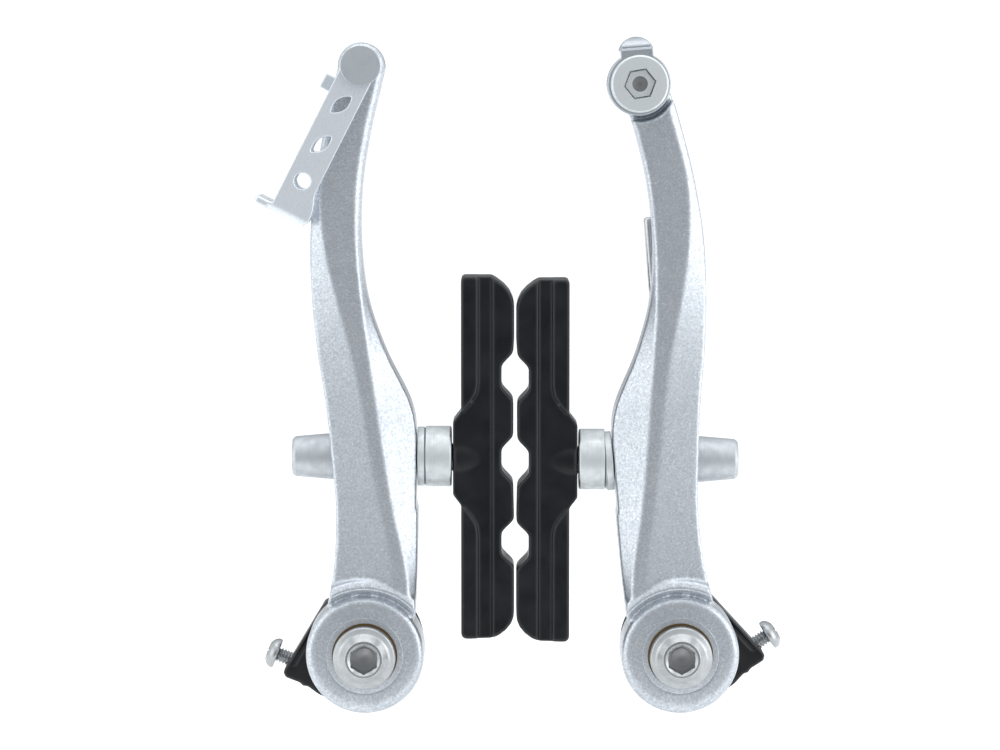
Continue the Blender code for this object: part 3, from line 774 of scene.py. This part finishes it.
def hex_socket(head, radius, face, floor):
    """A hexagon socket with a chamfered mouth and a drilled bottom."""
    mouth = turned("mouth", [
        (0, face + 1), (radius + 1.0, face + 1), (radius, face),
        (HEX / 2 + 0.1, face - 0.4), (0, face - 0.4),
    ], 96)
    socket = moved(hexagon("socket", HEX, floor, face + 2), Matrix.Rotation(math.pi / 6, 4, "Z"))
    drill = rod("drill", 1.7, floor - 1.0, floor + 1)
    combine(head, [mouth, socket, drill])


def socket_floor(name, radius, height, matrix, body):
    """A dark coned disc set just above a socket's floor: painted shade in the socket's depth."""
    disc = turned(name, [
        (0, height - 0.3), (radius * 0.5, height - 0.12), (radius, height),
        (radius, height - 0.6), (0, height - 0.6),
    ], 64)
    piece(disc, matrix, body, "painted_shade_steel")


def build_sleeve(side, seat):
    profile = filleted([
        (3.15, 20.2), (5.5, 20.2, 0.3), (5.5, 0, 0.2), (4.05, 0, 0.2),
        (4.05, 17.0), (3.15, 17.0), (3.15, 20.2),
    ])[:-1]
    sleeve = turned(f"{side}_sleeve_barrel", profile, 96, closed=True)
    steel_piece(sleeve, seat, f"{side}_mount", f"{side}_boss_sleeve")


def build_bolt(side, seat):
    """The fixing bolt: flange, button head, socket and thread."""
    mount = f"{side}_mount"
    top = 25.2
    profile = filleted([
        (0, top), (3.55, top, 0.15), (4.75, 23.75, 0.35), (5.75, 23.35, 0.15),
        (5.95, 23.1, 0.1), (5.95, 21.6, 0.2), (M6_RADIUS, 21.6), (0, 21.6),
    ])
    head = turned(f"{side}_bolt_head", profile, 128)
    hex_socket(head, 3.1, top, 22.0)
    combine(head, [threaded("shank", M6_RADIUS, 6.0, 21.65, M6_PITCH)], "UNION")
    steel_piece(head, seat, mount, f"{side}_fixing_bolt")
    # a dark disc in the socket: painted shade
    socket_floor(f"{side}_bolt_socket_floor", 1.85, 22.35, seat, mount)


def build_bush(side, at):
    profile = filleted([
        (5.6, 19.3), (6.6, 19.3, 0.25), (6.6, HUB_REAR, 0.2), (5.6, HUB_REAR, 0.2), (5.6, 19.3),
    ])[:-1]
    bush = turned(f"{side}_bearing_bush", profile, 96, closed=True)
    # the bush's darkened brass is painted shade in the gap round the bolt's flange
    piece(bush, at["pivot"] @ FORWARD, f"{side}_arm", "brass", [f"{side}_pivot_bush"])


def build_hub_stack(side, at):
    seat = at["boss"] @ FORWARD
    build_sleeve(side, seat)
    washer = flat_washer(f"{side}_bolt_washer", 3.3, 5.6, 21.3, 20.5)
    steel_piece(washer, seat, f"{side}_mount", f"{side}_fixing_washer")
    build_bolt(side, seat)
    build_bush(side, at)


# ---------------------------------------------------------------- spring holder

def holder_outline():
    return [
        *arc((0, 0), 10.9, -104, 122, 60),
        (-8.4, 8.1), (-16.1, -4.7), (-16.3, -5.4), (-15.9, -6.3), (-13.1, -7.4),
        (-12.5, -8.0), (-11.6, -8.1), (-9.6, -9.6), (-7.4, -10.6), (-5.0, -10.9),
    ]


def build_holder(side, at):
    holder = plate(f"{side}_holder_moulding", holder_outline(), 0.5, 7.2)
    screw_place = at["holder"].inverted() @ at["screw"] @ OUTWARD
    combine(holder, [
        moved(rod("cup", 8.9, 1.7, 9, 96), FORWARD),
        moved(rod("bore", 5.8, -1, 9, 96), FORWARD),
        block("window", (-6.5, -9, 2.0), (12, -1.7, 14)),
        moved(rod("pin_hole", 1.1, -2, 4.4, 32), PIN_PLACE),
        moved(rod("screw_hole", 1.75, -12.5, 5, 48), screw_place),
        plate("band", [(-9.0, 6.2), (-15.0, -3.9), (-14.3, -4.3), (-8.3, 5.8)], 6.7, 8.0),
    ])
    soften(holder, 0.25, 3)
    mount = f"{side}_mount"
    nodes = [f"{side}_spring_holder"]
    piece(holder, at["holder"], mount, "black_plastic", nodes, sharp=None)
    profile = filleted([(0, 4.1), (0.95, 4.1, 0.3), (0.95, -3.2, 0.35), (0, -3.2)])
    pin = turned(f"{side}_locating_pin", profile, 48)
    steel_piece(pin, at["holder"] @ PIN_PLACE, mount, f"{side}_spring_pin")


def build_adjuster(side, at):
    """Pan-head screw with a cross recess and a visible thread."""
    profile = filleted([
        (0, 1.3), (1.7, 1.15, 0.5), (2.65, 0.5, 0.5), (3.0, -0.3, 0.3),
        (2.85, -0.9, 0.25), (1.2, -0.9), (0, -0.9),
    ])
    screw = turned(f"{side}_tension_screw", profile, 96)
    combine(screw, [threaded("thread", 1.45, -9.2, -0.8, 0.6, chamfer=0.4)], "UNION")
    slots = []
    for turn in (0, math.pi / 2):
        slot = block("cross", (-1.9, -0.35, 0.35), (1.9, 0.35, 3))
        slots.append(moved(slot, Matrix.Rotation(turn + CROSS_TURN, 4, "Z")))
    combine(screw, slots)
    steel_piece(screw, at["screw"] @ OUTWARD, f"{side}_adjuster", f"{side}_adjusting_screw")


# ---------------------------------------------------------------- springs

def spring_points(leg_x):
    """The wire's middle line: a short tail, two turns of coil and the leg up the arm."""
    tail = math.radians(216)
    turns = 4 * math.pi - tail
    steps = 72
    points = []
    for reach, angle in ((8.1, tail), (7.7, tail + 0.02)):
        points.append((reach * math.cos(angle), COIL_REAR, reach * math.sin(angle)))
    for n in range(steps + 1):
        angle = tail + turns * n / steps
        y = COIL_REAR + COIL_DEPTH * n / steps
        points.append((COIL_RADIUS * math.cos(angle), y, COIL_RADIUS * math.sin(angle)))
    leg = [
        points[-1], (7.3, -2.9, 8), (6.6, -3.1, 24), (4.2, -3.3, 40), (2.2, -3.6, 50),
        (1.0, -6.0, 59), (leg_x, -9.1, 67), (leg_x, -9.7, 71), (leg_x, -10.1, 83),
    ]
    return points[:-1] + blended(leg, 8)


def wire_frames(points):
    """A point, a tangent and a normal for each point of a wire, without twist."""
    last = len(points) - 1
    tangents = []
    for n in range(len(points)):
        ahead = points[min(n + 1, last)] - points[max(n - 1, 0)]
        tangents.append(ahead.normalized())
    normal = tangents[0].orthogonal().normalized()
    found = []
    for point, tangent in zip(points, tangents):
        normal = (normal - tangent * normal.dot(tangent)).normalized()
        found.append((point, tangent, normal))
    return found


def wire_stations(points, radius):
    """The wire's rings as (centre, tangent, normal, scale), with two more to dome each end."""
    around = wire_frames(points)
    first, last = around[0], around[-1]
    domes = ((0.5, 0.45), (0.3, 0.8))
    stations = [(first[0] - first[1] * radius * out, *first[1:], scale) for out, scale in domes]
    stations += [(*station, 1) for station in around]
    stations += [(last[0] + last[1] * radius * out, *last[1:], scale) for out, scale in domes[::-1]]
    return stations


def tube(name, points, radius):
    """A round wire along points, with domed ends."""
    sides = 16
    bm = bmesh.new()
    rings = []
    for centre, tangent, normal, scale in wire_stations([Vector(p) for p in points], radius):
        side = tangent.cross(normal)
        rings.append([
            bm.verts.new(centre + (normal * math.cos(a) + side * math.sin(a)) * radius * scale)
            for a in (2 * math.pi * k / sides for k in range(sides))
        ])
    for low, high in zip(rings, rings[1:]):
        for k in range(sides):
            j = (k + 1) % sides
            bm.faces.new((low[k], low[j], high[j], high[k]))
    bm.faces.new(rings[0][::-1])
    bm.faces.new(rings[-1])
    return new_object(name, bm)


def build_spring(side, at):
    """The return spring's wire, left on no body with its place baked in, and the post for its leg on the
    arm.
    """
    wire = tube(f"{side}_spring_wire", spring_points(LEG_X[side]), WIRE_RADIUS)
    piece(wire, at["pivot"], None, "spring_steel", [f"{side}_return_spring"])
    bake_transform(wire)
    profile = filleted([(0, 14.7), (1.3, 14.7), (1.3, 9.2, 0.1), (1.9, 9.0, 0.2), (1.9, 8.3, 0.3), (0, 8.3)])
    post = turned(f"{side}_leg_post", profile, 64)
    steel_piece(post, at["pivot"] @ post_place(side), f"{side}_arm", f"{side}_spring_post")


# ---------------------------------------------------------------- shoes

def sphere_arc(radius, start, end):
    """Profile points on a sphere about the stud's middle, between two distances from its axis."""
    count = 12
    found = []
    for n in range(count):
        away = start + (end - start) * n / (count - 1)
        found.append((away, math.sqrt(radius * radius - away * away)))
    return found


def dome_profile():
    """The ball washer's round half, up from its flat foot on the arm."""
    foot = 3.7
    skirt = filleted([(DOME_RADIUS, 4.4), (DOME_RADIUS, foot, 0.2), (DOME_BORE, foot)])[1:]
    return [*sphere_arc(7.55, DOME_BORE, DOME_RADIUS), (DOME_RADIUS, 4.6), *skirt]


def cup_profile(end):
    """The ball washer's hollow half, whose flat end is at the given height."""
    hollow = sphere_arc(7.75, 5.6, CUP_BORE)
    rim = hollow[0]
    wall = filleted([(CUP_BORE, end), (CUP_RADIUS, end, 0.45), (CUP_RADIUS, rim[1] - 0.15, 0.2), rim])[1:]
    return [*wall, *hollow[1:], (CUP_BORE, end)]


def build_washers(side, at):
    for where, turn, end in (("inner", INWARD, 10.2), ("outer", OUTWARD, 8.6)):
        dome = turned(f"{side}_{where}_dome", dome_profile(), 96, closed=True)
        nodes = [f"{side}_{where}_dome_washer"]
        piece(dome, at["slot"] @ turn, f"{side}_slot_washers", "bright_zinc", nodes)
        cup = turned(f"{side}_{where}_cup", cup_profile(end), 96, closed=True)
        nodes = [f"{side}_{where}_cup_washer"]
        piece(cup, at["shoe"] @ turn, f"{side}_shoe", "bright_zinc", nodes)


def notch(offset):
    """Depth of a pad's cross notch, from 1 on its floor to 0 past its mouth."""
    floor, mouth = 1.65, 5.0
    t = min(max((abs(offset) - floor) / (mouth - floor), 0), 1)
    return 1 - t * t * (3 - 2 * t)


def pad_outline():
    """The pad from the front, as (towards the rim, up), round from its lower back corner."""
    points = [
        (12.35, -34.5), (13.0, -34.75), (17.8, -34.6), (19.3, -34.0),
        (20.6, -33.0), (21.6, -31.8), (22.1, -30.5), (PAD_FACE, -29.3),
    ]
    for centre, face in ((-16.2, PAD_FACE), (-0.2, PAD_MIDDLE_FACE), (15.8, PAD_MIDDLE_FACE)):
        for n in range(25):
            step = -5.0 + 10.0 * n / 24
            points.append((face - (face - NOTCH_FLOOR) * notch(step), centre + step))
    return points + [
        (PAD_FACE, 23.0), (PAD_FACE, 29.4), (21.95, 30.6), (21.3, 32.0), (20.2, 33.2),
        (18.9, 34.2), (17.9, 34.8), (12.7, 34.8), (12.2, 34.6), (PAD_BACK, 34.2),
        (PAD_BACK, 9.0), (10.5, 7.0), (10.5, -7.0), (PAD_BACK, -9.0), (PAD_BACK, -34.0),
    ]


def pad_band():
    """The sunk band down the pad's side, which widens round the stud boss."""
    return [
        (15.3, -36), (18.0, -36), (18.0, 36), (15.3, 36), (15.3, 14.5), (15.0, 12.6),
        (14.0, 10.9), (12.6, 9.2), (11.0, 8.6), (9.5, 8.6), (9.5, -8.6), (11.0, -8.6),
        (12.6, -9.2), (14.0, -10.9), (15.0, -12.6), (15.3, -14.5),
    ]


def build_pad(side, at):
    pad = plate(f"{side}_pad_block", pad_outline(), -PAD_HALF_DEPTH, PAD_HALF_DEPTH)
    bands = []
    for front in (1, -1):
        low, high = sorted((front * BAND_FLOOR, front * 7))
        bands.append(plate("band", pad_band(), low, high))
    combine(pad, bands)
    boss = [(0, 17.4), (4.5, 17.4), (5.15, 14.6, 1.0), (5.5, 12.2, 0.8), (5.5, 10.5, 0.7), (0, 10.5)]
    combine(pad, [moved(turned("boss", filleted(boss, 6), 96), INWARD)], "UNION")
    combine(pad, [
        block("plate_cavity", (13.9, -4.3, -11.3), (15.9, 4.3, 11.3)),
        moved(rod("stud_cavity", 3.2, 5, 15, 64), INWARD),
    ])
    soften(pad, 0.24, 9)
    piece(pad, at["shoe"], f"{side}_shoe", "pad_rubber", [f"{side}_brake_pad"], sharp=None)


def build_stud(side, at):
    """The threaded stud with its backing plate."""
    stud = threaded(f"{side}_stud_thread", M6_RADIUS, -14.7, 14.4, M6_PITCH)
    backing = bevel(block("backing", (-11.0, -4.0, 14.2), (11.0, 4.0, 15.6)), 0.3, 3)
    combine(stud, [backing], "UNION")
    piece(stud, at["shoe"] @ INWARD, f"{side}_shoe", "zinc_turned", [f"{side}_pad_stud"])


def build_nut(side, at):
    """The tapered sleeve nut with its hexagon socket."""
    end = 20.4
    profile = filleted([
        (0, end), (3.3, end, 0.2), (3.85, 19.85, 0.35), (4.65, 10.6, 0.8),
        (4.65, 8.9, 0.25), (3.15, 8.9, 0.2), (3.15, 15.2), (0, 15.2),
    ])
    nut = turned(f"{side}_sleeve_nut", profile, 96)
    combine(nut, [
        hexagon("nut_socket", HEX, 14.8, 22),
        turned("nut_mouth", [(0, 21), (3.6, 21), (3.0, end), (2.4, 19.8), (0, 19.8)], 96),
    ])
    piece(nut, at["shoe"] @ OUTWARD, f"{side}_shoe", "satin_nut", [f"{side}_shoe_nut"])


# ---------------------------------------------------------------- cable link

def leaf(centre_z):
    """A window with two pointed ends, tilted as the link leans."""
    count = 14
    half_length, half_width = 2.45, 1.12
    across, along = math.cos(LINK_LEAN), math.sin(LINK_LEAN)
    points = []
    for side in (1, -1):
        for n in range(count):
            t = -1 + 2 * n / count
            x, z = side * half_width * (1 - t * t), side * t * half_length
            points.append((x * across + z * along, centre_z - x * along + z * across))
    return points


def cheek_outline():
    return [
        *arc((0, 0), 3.2, 0, 180, 33), (-3.2, -31.2), (4.4, -31.2), (4.5, -30.4),
        (4.45, -29.4), (4.2, -28.2), (3.8, -27.0), (3.4, -26.0), (3.2, -25.0),
    ]


def build_link(at):
    """One bent strip: two cheeks, a forked seat for the cable pipe and a small ear."""
    link = plate("link_strip", cheek_outline(), 19.1, LINK_FRONT)
    combine(link, [
        plate("back_cheek", cheek_outline(), LINK_REAR, 11.0),
        bevel(block("seat", (-6.6, -LINK_FRONT, -32.0), (4.1, -LINK_REAR, LINK_BEND)), 0.6, 4),
        bevel(block("ear", (-5.7, -10.95, -7.3), (-3.0, -9.85, -4.2)), 0.3, 3),
    ], "UNION")
    for ahead, inner in ((LINK_FRONT, 18.7), (LINK_REAR, 11.4)):
        past = 0.5 if ahead > inner else -0.5
        low, high = sorted((-ahead - past, -inner))
        corner = block("corner", (-3.9, low, -33), (6, high, LINK_BEND))
        bend = moved(rod("bend", 1.6, -10, 10, 64), Matrix.Translation((0, -inner, LINK_BEND)) @ INWARD)
        combine(link, [combine(corner, [bend])])
    hole_x = 0.2
    middle = -(LINK_FRONT + LINK_REAR) / 2
    combine(link, [
        moved(rod("seat_hole", 2.5, -34, -28, 48), Matrix.Translation((hole_x, middle, 0))),
        block("fork", (-8, middle - 1.2, -34), (hole_x, middle + 1.2, -28)),
        plate("window_a", leaf(-8.15), 5, CUT_AHEAD),
        plate("window_b", leaf(-16.5), 5, CUT_AHEAD),
        moved(rod("round_hole", 1.55, 5, CUT_AHEAD, 48), Matrix.Translation((0, 0, -24.3)) @ FORWARD),
        moved(rod("rivet_hole", 2.3, 5, CUT_AHEAD, 48), FORWARD),
    ])
    soften(link, 0.15, 4)
    piece(link, at["link"], "cable_link", "zinc_sheet", ["noodle_link"], sharp=None)
    build_rivet(at)


def build_rivet(at):
    profile = filleted([
        (0, 21.8), (3.8, 21.8, 0.16), (3.8, 20.6, 0.1), (2.0, 20.6),
        (2.0, 9.5), (3.3, 9.5, 0.1), (3.3, 8.4, 0.5), (0, 8.4),
    ])
    rivet = turned("link_pin", profile, 96)
    piece(rivet, at["link"] @ FORWARD, "cable_link", "zinc_turned", ["link_rivet"])


# ---------------------------------------------------------------- cable anchor

def build_cable_washer(at):
    """A washer whose tongue goes up over the arm's end and rises to a dome."""
    washer = moved(flat_washer("cable_washer", 3.2, 6.0, 19.0, 17.9), FORWARD)
    dome = plate("dome", [(3.1, 6.4), *arc((0, 5.6), 3.4, 16, 164, 25), (-3.1, 6.4)], 11.4, 17.6)
    roof = moved(rod("roof", 4.0, -6, 6, 96), Matrix.Translation((0, -13.6, 5.0)) @ INWARD)
    combine(dome, [roof], "INTERSECT")
    combine(washer, [
        block("tab", (-3.1, -19.0, 5.0), (3.1, -17.9, 6.6)),
        block("bridge", (-2.9, -18.4, 6.3), (2.9, -15.2, 7.3)),
        dome,
    ], "UNION")
    combine(washer, [block("gap", (-4, -20, 6.6), (4, -16.3, 6.95))])
    soften(washer, 0.16, 2)
    # the whole washer is painted a darker grey, as shade in the gap round the pinch bolt's head
    piece(washer, at["anchor"], "cable_clamp", "shade_darkened_sheet", ["anchor_washer"], sharp=None)


def build_pinch_bolt(at):
    """A round head with a stepped hexagon socket, and the thread into the arm."""
    profile = filleted([
        (0, 23.6), (5.1, 23.6, 0.15), (5.4, 23.3, 0.15), (5.4, 19.3, 0.25), (M6_RADIUS, 19.3), (0, 19.3),
    ])
    head = turned("pinch_bolt_head", profile, 128)
    turn = Matrix.Rotation(math.radians(55), 4, "Z")
    combine(head, [moved(hexagon("socket", 5.35, 21.4, 26), turn)])
    step = moved(hexagon("socket_step", 4.8, 21.0, 22.6), turn)
    combine(head, [step, threaded("pinch_thread", M6_RADIUS, 10.7, 19.35, M6_PITCH)], "UNION")
    combine(head, [rod("drill", 1.45, 20.4, 23)])
    seat = at["anchor"] @ FORWARD
    piece(head, seat, "cable_clamp", "bright_zinc", ["anchor_bolt"])
    # a dark disc in the socket: painted shade
    socket_floor("pinch_socket_floor", 1.4, 21.2, seat, "cable_clamp")


# ---------------------------------------------------------------- studio

def tent_strength(tree):
    """The tent's brightness by direction: dim at its front opening and on its back wall."""
    link = tree.links.new
    place = tree.nodes.new("ShaderNodeTexCoord")
    split = tree.nodes.new("ShaderNodeSeparateXYZ")
    link(place.outputs["Generated"], split.inputs["Vector"])
    shades = []
    for spans in ((-0.99, -0.76, TENT_FRONT, TENT), (0.55, 0.97, 1.0, TENT_BACK)):
        shade = tree.nodes.new("ShaderNodeMapRange")
        shade.interpolation_type = "SMOOTHSTEP"
        for key, value in zip(SPAN_KEYS, spans):
            shade.inputs[key].default_value = value
        link(split.outputs["Y"], shade.inputs["Value"])
        shades.append(shade.outputs["Result"])
    strength = tree.nodes.new("ShaderNodeMath")
    strength.operation = "MULTIPLY"
    link(shades[0], strength.inputs[0])
    link(shades[1], strength.inputs[1])
    return strength.outputs["Value"]


def build_world():
    """The tent lights the object, while the camera sees plain white behind it."""
    world = bpy.data.worlds.new("studio")
    bpy.context.scene.world = world
    world.use_nodes = True
    tree = world.node_tree
    link = tree.links.new
    tent = tree.nodes["Background"]
    tent.inputs["Color"].default_value = (0.955, 0.978, 1.0, 1)
    link(tent_strength(tree), tent.inputs["Strength"])
    white = tree.nodes.new("ShaderNodeBackground")
    white.inputs["Color"].default_value = (1, 1, 1, 1)
    white.inputs["Strength"].default_value = BACKDROP
    path = tree.nodes.new("ShaderNodeLightPath")
    mix = tree.nodes.new("ShaderNodeMixShader")
    link(path.outputs["Is Camera Ray"], mix.inputs["Fac"])
    link(tent.outputs["Background"], mix.inputs[1])
    link(white.outputs["Background"], mix.inputs[2])
    link(mix.outputs["Shader"], tree.nodes["World Output"].inputs["Surface"])


def panel(name, size, at, power):
    """A soft box that points at the middle of the object."""
    light = bpy.data.lights.new(name, "AREA")
    light.shape = "RECTANGLE"
    light.size, light.size_y = size
    light.energy = power
    obj = bpy.data.objects.new(name, light)
    bpy.context.scene.collection.objects.link(obj)
    obj.location = at
    obj.rotation_euler = (Vector((0, -0.015, 0.053)) - Vector(at)).to_track_quat("-Z", "Y").to_euler()


def build_floor():
    """A pale sheet below the object, from just in front of it to far behind."""
    low = CAD_BOX[0][2] - FLOOR_DROP
    bm = bmesh.new()
    rows = []
    for n in range(41):
        y = -0.09 + 9.0 * (n / 40) ** 2
        rows.append([bm.verts.new((x, y, low)) for x in (-6.0, -2.0, 2.0, 6.0)])
    for a, b in zip(rows, rows[1:]):
        for k in range(3):
            bm.faces.new((a[k], a[k + 1], b[k + 1], b[k]))
    floor = new_object("floor", bm)
    n = Nodes("floor_paper")
    paper = n.ramp(n.noise(30, 2.0), (0.3, (0.93, 0.93, 0.93)), (0.7, (0.95, 0.95, 0.95)))
    n.link(paper, n.shader.inputs["Base Color"])
    n.shader.inputs["Roughness"].default_value = 0.9
    n.shader.inputs["Emission Color"].default_value = (1, 1, 1, 1)
    n.shader.inputs["Emission Strength"].default_value = 0.22
    n.bump((n.noise(0.8, 3.0), 0.05, 0.05))
    floor.data.materials.append(n.material)


def build_camera():
    """A long lens a little above the object; seen_width is what it takes in at the target."""
    target = Vector((-0.0043, -0.020, 0.0537))
    rise = math.radians(4.6)
    distance = 0.65
    seen_width = 0.1893
    data = bpy.data.cameras.new("camera")
    data.sensor_width = 36
    data.lens = 36 * distance / seen_width
    data.clip_start = 0.01
    camera = bpy.data.objects.new("camera", data)
    bpy.context.scene.collection.objects.link(camera)
    camera.location = target + distance * Vector((0, -math.cos(rise), math.sin(rise)))
    camera.rotation_euler = (target - camera.location).to_track_quat("-Z", "Y").to_euler()
    bpy.context.scene.camera = camera


def build_studio():
    bpy.context.scene.view_settings.view_transform = "Standard"
    build_world()
    panel("right_panel", (0.5, 0.7), (0.60, -0.25, 0.16), 1.4)
    panel("left_panel", (0.5, 0.7), (-0.60, -0.25, 0.16), 0.7)
    panel("top_panel", (0.9, 0.5), (0.0, -0.10, 0.70), 1.2)
    build_floor()
    build_camera()


# ---------------------------------------------------------------- main

MATERIALS = make_materials()
build_studio()
for side in SIDES:
    at = frames(side)
    build_arm(side, at)
    build_hub_stack(side, at)
    build_holder(side, at)
    build_adjuster(side, at)
    build_spring(side, at)
    build_washers(side, at)
    build_pad(side, at)
    build_stud(side, at)
    build_nut(side, at)
    if side == "left":
        build_link(at)
    else:
        build_cable_washer(at)
        build_pinch_bolt(at)
